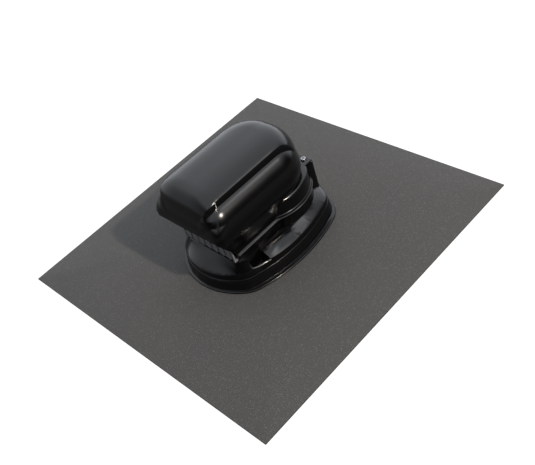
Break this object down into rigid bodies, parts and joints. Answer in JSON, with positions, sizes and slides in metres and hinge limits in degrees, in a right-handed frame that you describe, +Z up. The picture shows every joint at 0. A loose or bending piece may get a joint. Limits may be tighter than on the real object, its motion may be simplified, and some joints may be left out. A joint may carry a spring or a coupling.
{
  "type": "roof cable pass-through",
  "caption": "Hooded roof outlet on an oval collar and a square felt flange: cables rise through a pipe and a rubber grommet and leave under a visor.",
  "frame": {"origin": "centre of the felt sheet's underside, on the roof surface", "axes": "+Z up out of the roof, -Y the way the cables leave under the visor, X across"},
  "size_m": [0.5, 0.5, 0.1642],
  "materials": {
    "felt": "matte, with fine pale mineral grains",
    "bond": "tacky black butyl",
    "collar": "smooth moulded black",
    "housing": "smooth moulded black",
    "hood": "smooth moulded black",
    "pipe": "extruded grey",
    "seal": "soft black rubber",
    "grommet": "soft black rubber",
    "clamp": "stainless band",
    "comb": "flexible black",
    "rivet": "moulded black",
    "screw": "stainless",
    "insert": "plain brass"
  },
  "bodies": {
    "root": {"flange_sheet": "felt", "bonding_ring": "bond", "base_collar": "collar", "collar_gasket": "seal", "neck_housing": "housing", "riser_pipe": "pipe", "riser_seal": "seal", "grommet_membrane": "grommet", "grommet_clamp": "clamp", "hood_seal": "seal", "hood_shell": "hood", "comb_grille": "comb", "comb_rivets": "rivet", "rear_screws": "screw", "rear_inserts": "insert"}
  },
  "joints": []
}
